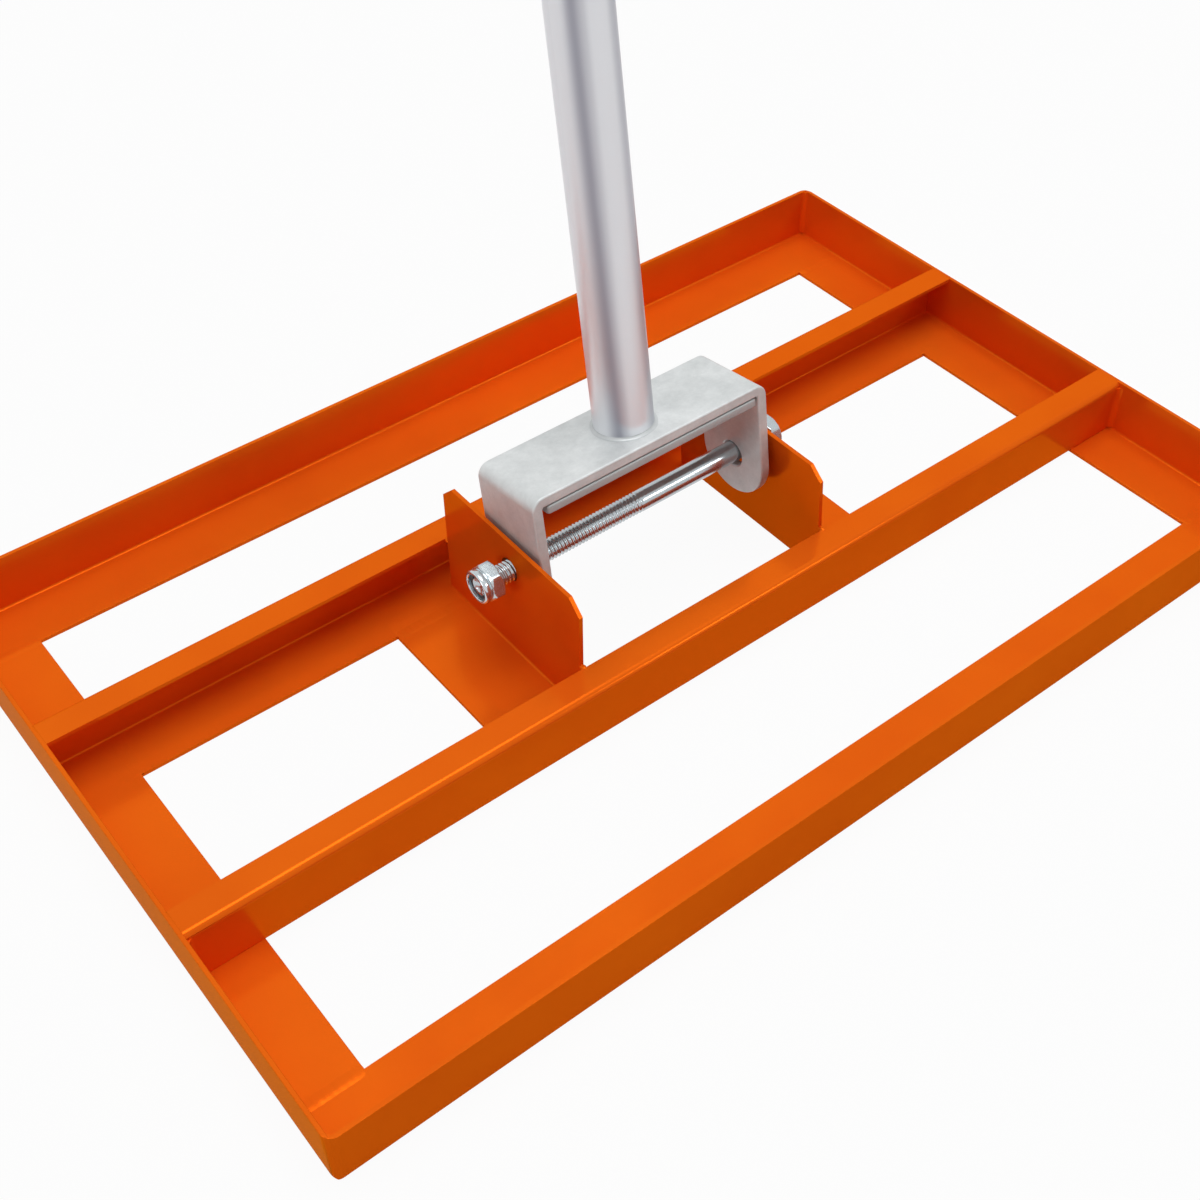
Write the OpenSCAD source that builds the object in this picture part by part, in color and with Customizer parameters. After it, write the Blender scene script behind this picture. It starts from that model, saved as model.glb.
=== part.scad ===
// Lawn levelling rake: a welded sheet steel frame with a pole that swings on a long bolt.
// Millimetres, +Z up, +X to the right, +Y to the back.
// The origin is the middle of the front rail's underside, on the ground.

/* [Head] */
// Width of the head, left to right
head_w = 420; // [380:5:520]
// Depth of the head, front to back
head_d = 264; // [248:2:320]
// Height of the outer rails and of the crossbars
rail_h = 24; // [20:0.5:28]
// Width of the flat flange along the foot of each outer rail
rail_flange_w = 24.5; // [18:0.5:30]
// Thickness of the bent sheet steel
sheet_t = 1.5; // [1.2:0.1:2.5]
// Inside radius of every bend in the sheet
bend_in_r = 1; // [0.5:0.1:2]
// Radius of the ground outer corners, seen from above
corner_r = 4; // [3:0.5:5]

/* [Crossbars] */
// Distance over the outer faces of the two crossbar webs
bar_span = 104; // [94:1:130]
// Width of the lip along the top of a crossbar
bar_lip_w = 11.5; // [6:0.5:13]
// Width of the flange along the foot of a crossbar
bar_flange_w = 22.5; // [14:0.5:26]

/* [Ears] */
// Height of an ear above the ground, before it leans
ear_h = 52; // [46:0.5:60]
// Lean of the right ear towards the yoke, in degrees
right_ear_lean = 5; // [0:1:8]
// Gap between the upright edge of an ear and the crossbar lip beside it
ear_lip_gap = 1.5; // [0.5:0.1:3]
// Width of the flange along the foot of an ear
ear_flange_w = 31.5; // [20:0.5:40]
// Size of the cut upper corners of an ear
ear_chamfer = 5.5; // [3:0.5:9]
// Diameter of the bolt hole in an ear
ear_hole_d = 9; // [8.6:0.1:10]

/* [Pivot bolt] */
// Height of the bolt's axis above the ground
pivot_h = 39; // [38:0.5:42]
// Diameter of the bolt's plain shank
bolt_d = 8; // [6:0.1:8.4]
// Outer diameter of the bolt's thread
thread_d = 7.85; // [5.8:0.05:8.2]
// Bevel at the threaded end of the bolt
bolt_bevel = 0.6; // [0.3:0.1:1]
// Length of the threaded end of the bolt
thread_len = 70; // [30:1:110]
// Width across the flats of the bolt's head and of the nut
hex_w = 13; // [11:0.5:14]
// Diameter of the round faces turned on the ends of the hexagons
hex_face_d = 12.4; // [10.5:0.1:12.8]
// Height of the bolt's head
bolt_head_h = 5.3; // [4:0.1:6.5]
// Gap between the outer face of the right ear's foot and the bolt's head
bolt_head_gap = 2; // [0:0.5:6]
// Height of the whole lock nut
nut_h = 8; // [7:0.1:11]
// Height of the nut's six-sided part
nut_hex_h = 5; // [4:0.1:6]
// Outer diameter of the nut's round collar
nut_collar_d = 12.6; // [11:0.1:12.8]
// Thickness of the wall of the nut's round collar
nut_collar_t = 0.9; // [0.4:0.1:1]
// Gap between the left ear and the nut
nut_gap = 6; // [0.5:0.5:12]
// Depth of the bolt's end inside the end of the nut
bolt_end_depth = 1; // [0.2:0.1:2]
// Turn of the bolt and its nut from having a corner straight up, in degrees
bolt_turned = 11; // [0:1:59]
// Gap left where one piece turns or screws on another
run_gap = 0.05; // [0.03:0.01:0.1]

/* [Yoke] */
// Width of the yoke over its two arms
yoke_w = 102; // [80:1:130]
// Gap between the yoke's left arm and the left ear
yoke_left_gap = 1.5; // [0.5:0.5:6]
// Gap between the yoke's right arm and the top of the right ear
yoke_right_gap = 2; // [0.5:0.5:6]
// Width of the flat bar that the yoke is bent from
yoke_bar_w = 32; // [26:1:36]
// Thickness of the flat bar that the yoke is bent from
yoke_t = 4; // [3:0.5:5]
// Height of the yoke's top face above the bolt's axis
yoke_h = 34; // [30:0.5:36]
// Inside radius of the two bends of the yoke
yoke_bend_in_r = 0.8; // [0.5:0.1:2]
// Diameter of the oversize bolt hole in each arm
yoke_hole_d = 10; // [8.8:0.1:12]
// Thickness of the stiffening plate under the yoke's top
stiffener_t = 3.5; // [2:0.5:5]
// Gap between the stiffening plate and the left arm
stiffener_left_gap = 1.8; // [1:0.1:8]
// Gap between the stiffening plate and the right arm
stiffener_right_gap = 0.9; // [0.8:0.1:4]

/* [Pole] */
// Outer diameter of the pole
pole_d = 21.3; // [19:0.1:26]
// Wall thickness of the pole
pole_wall = 1.2; // [1:0.1:2.5]
// Backward lean of the pole as the rake stands, in degrees
pole_lean = 9; // [0:1:20]
// Length of each of the four pole sections
section_len = 440; // [300:5:500]
// Bevel at the ends of each pole section
section_bevel = 0.5; // [0.2:0.1:0.8]
// Size of the weld bead round the foot of the pole
pole_weld_r = 3; // [2:0.5:4]
// Length of the threaded socket in the top of a section
socket_len = 36; // [32:1:60]
// Length of the plug in the bottom of a section
plug_len = 30; // [20:1:50]
// Diameter of the threaded stud under a plug
stud_d = 14; // [10:0.5:14.5]
// Length of the threaded stud under a plug
stud_len = 28; // [16:1:31]
// Diameter of the drilling through a plug and its stud
stud_bore_d = 6; // [4:0.5:8]

/* [Grip] */
// Length of the grip
grip_len = 130; // [90:5:180]
// Diameter of the grip between its ribs
grip_d = 27; // [25:0.5:34]
// Radius of the rounded ribs on the grip
rib_r = 1.5; // [0.8:0.1:2.5]
// Distance from rib to rib
rib_pitch = 12; // [8:1:20]
// Height of the cap's head above the end of the pole
cap_h = 6; // [4:0.5:10]
// Length of the cap's stem inside the pole
cap_stem_len = 20; // [12:1:35]

/* [Welds] */
// Width of the flat weld runs over the flange seams
seam_w = 5; // [3:0.5:7]
// Height of the flat weld runs over the flange seams
seam_h = 0.6; // [0.4:0.1:1.2]
// Radius of the upright weld beads at the corners and at the ends of the crossbars
bead_r = 2; // [1:0.25:3]
// Reach of the ears' tacks over the crossbar lips
tack_r = 1.5; // [0.5:0.25:3]

/* [Hidden] */
$fn = 72;

// The head is drawn about its own middle and then set back behind the origin
head_y = head_d / 2 - rail_flange_w / 2;
bend_out_r = bend_in_r + sheet_t;
inside_w = head_w - 2 * sheet_t;

// How far a cutting shape runs past the steel that it cuts
past = rail_h;

// Seams where one flange meets another
side_seam_x = head_w / 2 - rail_flange_w;
long_seam_y = head_d / 2 - rail_flange_w;
bar_seam_y = bar_span / 2 - bar_flange_w;
bar_face_y = bar_span / 2;

// Ears, which stand either side of the yoke, and the bolt through them
ear_lean_x = (ear_h - bend_out_r) * sin(right_ear_lean);
left_ear_x = -yoke_w / 2 - yoke_left_gap;
right_ear_x = yoke_w / 2 + yoke_right_gap + ear_lean_x;
ear_gap = right_ear_x - left_ear_x;
ear_offset = (left_ear_x + right_ear_x) / 2;
ear_w = bar_span - 2 * bar_lip_w - 2 * ear_lip_gap;
ear_hole_z = pivot_h + (ear_hole_d - bolt_d) / 2 - run_gap;
bolt_head_x = right_ear_x + sheet_t + bolt_head_gap;
nut_face_x = left_ear_x - sheet_t - nut_gap;
nut_end_x = nut_face_x - nut_h;
bolt_end_x = nut_end_x + bolt_end_depth;
thread_start_x = bolt_end_x + thread_len;
nut_bore_d = thread_d + 2 * run_gap;

// Yoke and pole, measured from the bolt's axis
yoke_hole_z = run_gap - (yoke_hole_d - bolt_d) / 2;
yoke_foot_z = yoke_hole_z - yoke_bar_w / 2;
yoke_inside_w = yoke_w - 2 * yoke_t;
yoke_under_z = yoke_h - yoke_t;
bore_d = pole_d - 2 * pole_wall;
pole_top_z = yoke_h + 4 * section_len;
rib_count = floor((grip_len - rib_pitch) / rib_pitch) + 1;
first_rib_z = (grip_len - (rib_count - 1) * rib_pitch) / 2;

paint = [0.87, 0.33, 0.03];
zinc = [0.72, 0.72, 0.74];
steel = [0.62, 0.62, 0.65];
tube_metal = [0.78, 0.78, 0.81];
rubber = [0.09, 0.09, 0.1];
nylon = [0.16, 0.17, 0.2];

// Places a child drawn about the middle of the head
module in_head() {
    translate([0, head_y, 0])
        children();
}

// Places a child drawn about the bolt's axis with the pole upright
module in_handle() {
    translate([0, head_y, pivot_h])
        rotate([-pole_lean, 0, 0])
            children();
}

// Quarter of a bend, centred on the bend and reaching towards -x and -y
module bend_quarter() {
    intersection() {
        difference() {
            circle(bend_out_r);
            circle(bend_in_r);
        }
        translate([-bend_out_r, -bend_out_r])
            square(bend_out_r);
    }
}

// Strip bent at the foot, seen end on, with its outer face on x = 0
module angle_profile(h, foot_w) {
    translate([0, bend_out_r])
        square([sheet_t, h - bend_out_r]);
    translate([bend_out_r, 0])
        square([foot_w - bend_out_r, sheet_t]);
    translate([bend_out_r, bend_out_r])
        bend_quarter();
}

// Strip bent at the foot and again at the top
module channel_profile(h, foot_w, lip_w) {
    translate([0, bend_out_r])
        square([sheet_t, h - 2 * bend_out_r]);
    translate([bend_out_r, 0])
        square([foot_w - bend_out_r, sheet_t]);
    translate([bend_out_r, h - sheet_t])
        square([lip_w - bend_out_r, sheet_t]);
    translate([bend_out_r, bend_out_r])
        bend_quarter();
    translate([bend_out_r, h - bend_out_r])
        mirror([0, 1])
            bend_quarter();
}

// Rectangle with four round corners
module round_rect(w, d, r) {
    square([w - 2 * r, d], center = true);
    square([w, d - 2 * r], center = true);
    for (x = [-1, 1], y = [-1, 1])
        translate([x * (w / 2 - r), y * (d / 2 - r)])
            circle(r);
}

// Upright outline of the head with the foot bend at both lower corners
module foot_outline(w) {
    translate([-w / 2, bend_out_r])
        square([w, rail_h]);
    translate([-w / 2 + bend_out_r, 0])
        square([w - 2 * bend_out_r, rail_h]);
    for (x = [-1, 1])
        translate([x * (w / 2 - bend_out_r), bend_out_r])
            circle(bend_out_r);
}

// Space inside which every rail stays, so that the corners are round
module head_space() {
    intersection() {
        linear_extrude(2 * rail_h, center = true)
            round_rect(head_w, head_d, corner_r);
        rotate([90, 0, 90])
            linear_extrude(head_w, center = true)
                foot_outline(head_d);
        rotate([90, 0, 0])
            linear_extrude(head_d, center = true)
                foot_outline(head_w);
    }
}

// A shape drawn end on, run from left to right, with its outer face towards the front
module run_across(length) {
    rotate([90, 0, 90])
        linear_extrude(length, center = true)
            children();
}

// A shape drawn end on, run from front to back, with its outer face towards the left
module run_back(length) {
    rotate([90, 0, 0])
        linear_extrude(length, center = true)
            children();
}

module long_rail() {
    intersection() {
        translate([0, -head_d / 2, 0])
            run_across(head_w)
                angle_profile(rail_h, rail_flange_w);
        head_space();
    }
}

// What an angle takes up, seen end on, and all that lies outside and below it
module angle_reach() {
    translate([-past, -past])
        square([past + sheet_t, 3 * past]);
    translate([-past, -past])
        square([past + rail_flange_w, past + sheet_t]);
    difference() {
        square(bend_out_r);
        translate([bend_out_r, bend_out_r])
            circle(bend_in_r);
    }
}

// End rail between the front rail and the rear rail
module end_rail() {
    difference() {
        intersection() {
            translate([-head_w / 2, 0, 0])
                run_back(head_d)
                    angle_profile(rail_h, rail_flange_w);
            head_space();
        }
        for (side = [0, 1])
            mirror([0, side, 0])
                translate([0, -head_d / 2, 0])
                    run_across(2 * head_w)
                        angle_reach();
    }
}

// Front crossbar, cut at its ends to sit over the flanges of the end rails
module crossbar() {
    difference() {
        translate([0, -bar_face_y, 0])
            run_across(head_w)
                channel_profile(rail_h, bar_flange_w, bar_lip_w);
        for (side = [0, 1])
            mirror([side, 0, 0])
                translate([-head_w / 2, 0, 0])
                    run_back(2 * head_d)
                        angle_reach();
    }
}

// Strip bent at the foot like the rails, seen end on, with its upright part leaning away
// from the flange
module ear_profile(lean) {
    translate([bend_out_r, 0])
        square([ear_flange_w - bend_out_r, sheet_t]);
    translate([bend_out_r, bend_out_r]) {
        intersection() {
            difference() {
                circle(bend_out_r);
                circle(bend_in_r);
            }
            polygon([[0, 0], [-past * cos(lean), -past * sin(lean)], [-past, -past], [0, -past]]);
        }
        rotate([0, 0, lean])
            translate([-bend_out_r, 0])
                square([sheet_t, ear_h - bend_out_r]);
    }
}

// Right ear, drawn as if the pair were in the middle of the head: the plate stands up
// and its foot flange runs to the right between the flanges of the crossbars
module ear(lean) {
    difference() {
        translate([ear_gap / 2, 0, 0])
            run_back(ear_w)
                ear_profile(lean);
        translate([ear_gap / 2, 0, ear_hole_z])
            rotate([0, 90, 0])
                cylinder(d = ear_hole_d, h = past, center = true);
        for (y = [-1, 1])
            translate([ear_gap / 2, y * ear_w / 2, ear_h])
                rotate([45, 0, 0])
                    cube([past, ear_chamfer * sqrt(2), ear_chamfer * sqrt(2)], center = true);
        for (side = [0, 1])
            mirror([0, side, 0])
                translate([0, bar_seam_y, sheet_t - past])
                    cube([head_w, head_d, past]);
    }
}

// Cross-section of a flat weld run: a low arc standing on its own chord
module seam_section() {
    arc_r = (seam_w * seam_w / 4 + seam_h * seam_h) / (2 * seam_h);
    intersection() {
        translate([0, seam_h - arc_r])
            circle(arc_r);
        translate([-seam_w / 2, 0])
            square([seam_w, seam_h]);
    }
}

// Upright weld bead in the corner of two walls, on their +x and +y sides
module upright_bead(length) {
    intersection() {
        cylinder(r = bead_r, h = length);
        cube([bead_r, bead_r, length]);
    }
}

// Six-sided bar standing on z = 0 with its corners turned off at 30 degrees at the top
module hex_bar(h) {
    intersection() {
        cylinder(d = hex_w / cos(30), h = h, $fn = 6);
        cylinder(d1 = hex_face_d + 2 * h / tan(30), d2 = hex_face_d, h = h);
    }
}

module front_rail() {
    color(paint)
        in_head()
            long_rail();
}

module rear_rail() {
    color(paint)
        in_head()
            mirror([0, 1, 0])
                long_rail();
}

module left_end_rail() {
    color(paint)
        in_head()
            end_rail();
}

module right_end_rail() {
    color(paint)
        in_head()
            mirror([1, 0, 0])
                end_rail();
}

module front_crossbar() {
    color(paint)
        in_head()
            crossbar();
}

module rear_crossbar() {
    color(paint)
        in_head()
            mirror([0, 1, 0])
                crossbar();
}

module right_ear() {
    color(paint)
        in_head()
            translate([ear_offset, 0, 0])
                ear(right_ear_lean);
}

module left_ear() {
    color(paint)
        in_head()
            translate([ear_offset, 0, 0])
                mirror([1, 0, 0])
                    ear(0);
}

// Weld beads up the four corners, and runs over the seams where an end rail's flange
// meets a long rail's flange
module corner_welds() {
    run_len = rail_flange_w - bend_out_r;
    color(paint)
        in_head()
            for (x = [0, 1], y = [0, 1])
                mirror([x, 0, 0])
                    mirror([0, y, 0]) {
                        translate([-inside_w / 2, sheet_t - head_d / 2, bend_out_r])
                            upright_bead(rail_h - bend_out_r);
                        translate([-side_seam_x - run_len / 2, -long_seam_y, sheet_t])
                            run_across(run_len)
                                seam_section();
                    }
}

// Weld beads and runs that hold the crossbars to the end rails
module crossbar_welds() {
    run_len = bar_flange_w - bend_out_r;
    color(paint)
        in_head()
            for (x = [0, 1], y = [0, 1])
                mirror([x, 0, 0])
                    mirror([0, y, 0]) {
                        translate([-inside_w / 2, -bar_face_y, bend_out_r])
                            mirror([0, 1, 0])
                                upright_bead(rail_h - 2 * bend_out_r);
                        translate([-side_seam_x, -bar_seam_y - run_len / 2, sheet_t])
                            run_back(run_len)
                                seam_section();
                    }
}

// Tack between the upright edge of an ear and the lip of the rear crossbar, seen end on
module tack_section() {
    translate([ear_w / 2, rail_h - sheet_t])
        square([ear_lip_gap, sheet_t]);
    intersection() {
        translate([ear_w / 2, rail_h])
            circle(ear_lip_gap + tack_r);
        translate([ear_w / 2, rail_h])
            square(ear_lip_gap + tack_r);
    }
}

// Weld runs over an ear's flange seams, and tacks between the ear and the lips, drawn
// for the right ear as if the pair were in the middle of the head
module one_ear_welds(lean) {
    run_len = ear_flange_w - bend_out_r;
    tack_x = ear_gap / 2 + sheet_t / 2 - (rail_h - bend_out_r) * tan(lean);
    for (y = [0, 1])
        mirror([0, y, 0]) {
            translate([ear_gap / 2 + ear_flange_w - run_len / 2, bar_seam_y, sheet_t])
                run_across(run_len)
                    seam_section();
            translate([tack_x, 0, 0])
                run_across(sheet_t)
                    tack_section();
        }
}

module ear_welds() {
    color(paint)
        in_head()
            translate([ear_offset, 0, 0]) {
                one_ear_welds(right_ear_lean);
                mirror([1, 0, 0])
                    one_ear_welds(0);
            }
}

// Bolt with its head outside the right ear and its thread at the left end
module pivot_bolt() {
    shank_len = bolt_head_x - thread_start_x;
    color(steel)
        translate([0, head_y, pivot_h])
            rotate([bolt_turned, 0, 0])
                rotate([0, 90, 0]) {
                    translate([0, 0, bolt_head_x])
                        hex_bar(bolt_head_h);
                    translate([0, 0, thread_start_x])
                        cylinder(d = bolt_d, h = shank_len);
                    translate([0, 0, bolt_end_x + bolt_bevel])
                        cylinder(d = thread_d, h = thread_len - bolt_bevel);
                    translate([0, 0, bolt_end_x])
                        cylinder(d1 = thread_d - 2 * bolt_bevel, d2 = thread_d, h = bolt_bevel);
                }
}

// Nut with a round collar at its outer end that holds the locking ring
module lock_nut() {
    collar_h = nut_h - nut_hex_h;
    collar_in_d = nut_collar_d - 2 * nut_collar_t;
    color(zinc)
        translate([nut_face_x, head_y, pivot_h])
            rotate([bolt_turned, 0, 0])
                rotate([0, -90, 0])
                    difference() {
                        union() {
                            intersection() {
                                hex_bar(nut_hex_h);
                                translate([0, 0, nut_hex_h])
                                    mirror([0, 0, 1])
                                        hex_bar(nut_hex_h);
                            }
                            translate([0, 0, nut_hex_h])
                                cylinder(d = nut_collar_d, h = collar_h - nut_collar_t);
                            translate([0, 0, nut_h - nut_collar_t])
                                cylinder(d1 = nut_collar_d, d2 = collar_in_d, h = nut_collar_t);
                        }
                        translate([0, 0, -nut_h])
                            cylinder(d = nut_bore_d, h = 3 * nut_h);
                        translate([0, 0, nut_hex_h])
                            cylinder(d = collar_in_d, h = nut_h);
                    }
}

// Nylon ring inside the nut's collar
module nut_lock_ring() {
    ring_h = nut_h - nut_hex_h - nut_collar_t;
    color(nylon)
        translate([nut_face_x - nut_hex_h, head_y, pivot_h])
            rotate([0, -90, 0])
                difference() {
                    cylinder(d = nut_collar_d - 2 * nut_collar_t, h = ring_h);
                    translate([0, 0, -ring_h])
                        cylinder(d = nut_bore_d, h = 3 * ring_h);
                }
}

// Outline of a flat bar bent down at both ends, with its top on y = top
module yoke_outline(w, top, r) {
    translate([-w / 2, yoke_foot_z])
        square([w, top - r - yoke_foot_z]);
    translate([-w / 2 + r, yoke_foot_z])
        square([w - 2 * r, top - yoke_foot_z]);
    for (x = [-1, 1])
        translate([x * (w / 2 - r), top - r])
            circle(r);
}

module yoke() {
    bend_x = yoke_inside_w / 2 - yoke_bend_in_r;
    arm_in_z = yoke_under_z - yoke_bend_in_r;
    color(zinc)
        in_handle()
            difference() {
                intersection() {
                    run_back(yoke_bar_w)
                        difference() {
                            yoke_outline(yoke_w, yoke_h, yoke_bend_in_r + yoke_t);
                            square([yoke_inside_w, 2 * arm_in_z], center = true);
                            translate([0, yoke_under_z / 2])
                                square([2 * bend_x, yoke_under_z], center = true);
                            for (x = [-bend_x, bend_x])
                                translate([x, arm_in_z])
                                    circle(yoke_bend_in_r);
                        }
                    union() {
                        translate([0, 0, yoke_hole_z])
                            rotate([0, 90, 0])
                                cylinder(d = yoke_bar_w, h = 2 * yoke_w, center = true);
                        translate([-yoke_w, -yoke_bar_w / 2, yoke_hole_z])
                            cube([2 * yoke_w, yoke_bar_w, 2 * yoke_h]);
                    }
                }
                translate([0, 0, yoke_hole_z])
                    rotate([0, 90, 0])
                        cylinder(d = yoke_hole_d, h = 2 * yoke_w, center = true);
            }
}

module yoke_stiffener() {
    plate_len = yoke_inside_w - stiffener_left_gap - stiffener_right_gap;
    color(zinc)
        in_handle()
            translate([-yoke_inside_w / 2 + stiffener_left_gap, -yoke_bar_w / 2, yoke_under_z - stiffener_t])
                cube([plate_len, yoke_bar_w, stiffener_t]);
}

module pole_foot_weld() {
    color(zinc)
        in_handle()
            translate([0, 0, yoke_h])
                rotate_extrude()
                    intersection() {
                        translate([pole_d / 2, 0])
                            circle(pole_weld_r);
                        translate([pole_d / 2, 0])
                            square(pole_weld_r);
                    }
}

// One length of tube with bevelled ends, counted from 0 at the foot of the pole
module pole_section(index) {
    outer_r = pole_d / 2;
    inner_r = bore_d / 2;
    bevel_r = outer_r - section_bevel;
    color(tube_metal)
        in_handle()
            translate([0, 0, yoke_h + index * section_len])
                rotate_extrude()
                    polygon([
                        [inner_r, 0],
                        [bevel_r, 0],
                        [outer_r, section_bevel],
                        [outer_r, section_len - section_bevel],
                        [bevel_r, section_len],
                        [inner_r, section_len]
                    ]);
}

// Threaded bush in the top of a section
module pole_socket(index) {
    color(steel)
        in_handle()
            translate([0, 0, yoke_h + (index + 1) * section_len - socket_len])
                difference() {
                    cylinder(d = bore_d, h = socket_len);
                    translate([0, 0, -socket_len])
                        cylinder(d = stud_d + 2 * run_gap, h = 3 * socket_len);
                }
}

// Plug in the bottom of a section with the stud that screws into the socket below
module pole_stud(index) {
    color(steel)
        in_handle()
            translate([0, 0, yoke_h + (index + 1) * section_len])
                difference() {
                    union() {
                        cylinder(d = bore_d, h = plug_len);
                        translate([0, 0, -stud_len])
                            cylinder(d = stud_d, h = stud_len + plug_len / 2);
                    }
                    translate([0, 0, -2 * stud_len])
                        cylinder(d = stud_bore_d, h = 3 * stud_len + 2 * plug_len);
                }
}

// Rubber sleeve with rounded ribs
module grip() {
    outer_r = grip_d / 2;
    color(rubber)
        in_handle()
            translate([0, 0, pole_top_z - grip_len])
                rotate_extrude()
                    difference() {
                        union() {
                            translate([pole_d / 2, 0])
                                square([outer_r - pole_d / 2, grip_len]);
                            for (i = [0 : rib_count - 1])
                                translate([outer_r, first_rib_z + i * rib_pitch])
                                    circle(rib_r);
                        }
                        square([pole_d / 2, grip_len]);
                    }
}

// Cap with a round-edged head over the end of the pole and a stem inside it
module end_cap() {
    head_r = grip_d / 2;
    edge_r = cap_h / 2;
    color(rubber)
        in_handle()
            translate([0, 0, pole_top_z]) {
                rotate_extrude() {
                    square([head_r, cap_h - edge_r]);
                    square([head_r - edge_r, cap_h]);
                    translate([head_r - edge_r, cap_h - edge_r])
                        circle(edge_r);
                }
                translate([0, 0, -cap_stem_len])
                    cylinder(d = bore_d, h = cap_stem_len);
            }
}

front_rail();
rear_rail();
left_end_rail();
right_end_rail();
front_crossbar();
rear_crossbar();
left_ear();
right_ear();
corner_welds();
crossbar_welds();
ear_welds();
pivot_bolt();
lock_nut();
nut_lock_ring();
yoke();
yoke_stiffener();
pole_foot_weld();
pole_section(0);  // pole_section_1
pole_section(1);  // pole_section_2
pole_section(2);  // pole_section_3
pole_section(3);  // pole_section_4
pole_socket(0);  // pole_socket_1
pole_socket(1);  // pole_socket_2
pole_socket(2);  // pole_socket_3
pole_stud(0);  // pole_stud_1
pole_stud(1);  // pole_stud_2
pole_stud(2);  // pole_stud_3
grip();
end_cap();
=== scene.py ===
import bpy
import bmesh
import math
from mathutils import Matrix, Vector, noise
from mathutils.bvhtree import BVHTree


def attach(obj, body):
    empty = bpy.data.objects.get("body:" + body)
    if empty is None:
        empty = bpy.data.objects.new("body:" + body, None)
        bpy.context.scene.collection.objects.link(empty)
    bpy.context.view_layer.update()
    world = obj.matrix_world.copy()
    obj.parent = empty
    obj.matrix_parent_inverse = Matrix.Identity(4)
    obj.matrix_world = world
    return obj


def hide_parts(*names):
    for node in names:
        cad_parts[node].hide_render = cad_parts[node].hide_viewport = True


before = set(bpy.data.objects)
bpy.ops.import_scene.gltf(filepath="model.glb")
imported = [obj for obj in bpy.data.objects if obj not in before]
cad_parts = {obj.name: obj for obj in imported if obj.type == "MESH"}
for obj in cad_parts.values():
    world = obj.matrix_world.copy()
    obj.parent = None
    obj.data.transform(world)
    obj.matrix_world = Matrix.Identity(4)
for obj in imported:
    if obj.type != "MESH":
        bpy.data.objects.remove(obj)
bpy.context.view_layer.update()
print("frame loaded:", len(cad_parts), "nodes")

mm = 0.001
headY = 119.75  # the middle of the head, from the origin in the middle of the front rail's foot
pivotZ = 39.0


# ---- camera, floor and light ----

# where the photographer stood: worked out from the head's straight edges
cameraView = {"place": (-278.95, -217.38, 432.54), "turn": (44.7185, 0.1641, -38.2424), "lens": 49.655}

cameraData = bpy.data.cameras.new("camera")
cameraData.sensor_width = 36
cameraData.lens = cameraView["lens"]
cameraData.clip_start = 0.01
cameraData.clip_end = 50
cameraObject = bpy.data.objects.new("camera", cameraData)
cameraObject.location = Vector(cameraView["place"]) * mm
cameraObject.rotation_euler = [math.radians(a) for a in cameraView["turn"]]
bpy.context.scene.collection.objects.link(cameraObject)
bpy.context.scene.camera = cameraObject
bpy.context.scene.view_settings.view_transform = "Standard"


def linear(hexColour):
    parts = [int(hexColour[i:i + 2], 16) / 255 for i in (1, 3, 5)]
    return tuple(v / 12.92 if v <= 0.04045 else ((v + 0.055) / 1.055) ** 2.4 for v in parts) + (1.0,)


def greyOf(value):
    return (value, value, value, 1.0)


def addNode(tree, kind, inputs=None, links=None, **settings):
    node = tree.nodes.new(kind)
    for key, value in settings.items():
        setattr(node, key, value)
    for key, value in (inputs or {}).items():
        node.inputs[key].default_value = value
    for key, socket in (links or {}).items():
        tree.links.new(socket, node.inputs[key])
    return node


def newMaterial(name):
    material = bpy.data.materials.new(name)
    material.use_nodes = True
    material.node_tree.nodes.clear()
    return material, material.node_tree


def setRamp(ramp, stops):
    # stops are (position, linear colour); the ramp starts out with two
    elements = ramp.color_ramp.elements
    while len(elements) < len(stops):
        elements.new(0.5)
    for element, (position, colour) in zip(elements, stops):
        element.position = position
        element.color = colour


studio = {
    # floor, in metres, with its grey and how much of what is seen of it is its own glow
    "floorSize": 8.0, "floorLevel": -0.0003, "floorWhite": 0.58, "floorGlow": 0.95,
    # brightness of the room by elevation, as (degrees above the horizon, grey)
    "lighting": [(0, 0.05), (30, 0.1), (52, 0.52), (90, 1.1)],
    "shown": [(0, 1.0), (18, 1.0), (30, 0.88), (60, 0.88), (90, 1.0)],
    "lamps": [
        {"name": "softboxOverhead", "place": (0.1, 0.1, 2.3), "size": 1.5, "power": 28.0},
        {"name": "softboxFrontRight", "place": (1.22, -1.6, 1.3), "size": 0.45, "power": 4.5},
        {"name": "softboxLeft", "place": (-2.2, 0.1, 0.3), "size": 0.4, "power": 5.0},
    ],
    "lampAim": (0, headY * mm, 0.02),
}


def largerOf(tree, one, two):
    return addNode(tree, "ShaderNodeMath", links={0: one, 1: two}, operation="MAXIMUM").outputs[0]


def seenRays(tree):
    # 1 for what the eye, mirrors and glass see, 0 for the light that falls on things
    rays = addNode(tree, "ShaderNodeLightPath").outputs
    seen = largerOf(tree, rays["Is Camera Ray"], rays["Is Glossy Ray"])
    return largerOf(tree, seen, rays["Is Transmission Ray"])


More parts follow.
